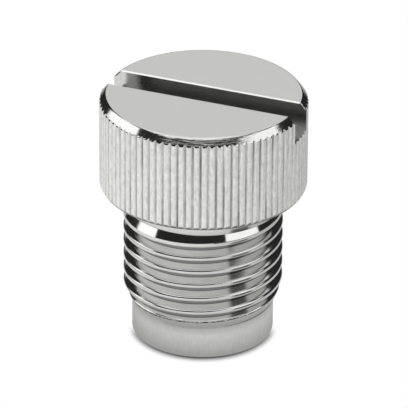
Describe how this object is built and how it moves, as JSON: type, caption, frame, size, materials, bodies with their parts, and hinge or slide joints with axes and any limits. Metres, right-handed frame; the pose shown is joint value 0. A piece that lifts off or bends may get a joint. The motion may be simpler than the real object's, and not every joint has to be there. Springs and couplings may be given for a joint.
{
  "type": "threaded plug",
  "caption": "Turned metal plug with a knurled, slotted round head, plain collar, relief groove, short right-hand thread and plain tip, for closing a threaded port.",
  "frame": {"origin": "centre of the tip's flat end face, which is the lowest point of the plug as it stands", "axes": "+Z runs along the plug's axis from the tip up to the slotted face; the picture looks along +Y and down, so -Y faces the viewer; the slot runs 21.3 degrees clockwise from +X seen from above"},
  "size_m": [0.0204, 0.0204, 0.0256],
  "materials": {
    "plated_brass": "satin"
  },
  "bodies": {
    "root": {"plug": "plated_brass"}
  },
  "joints": []
}
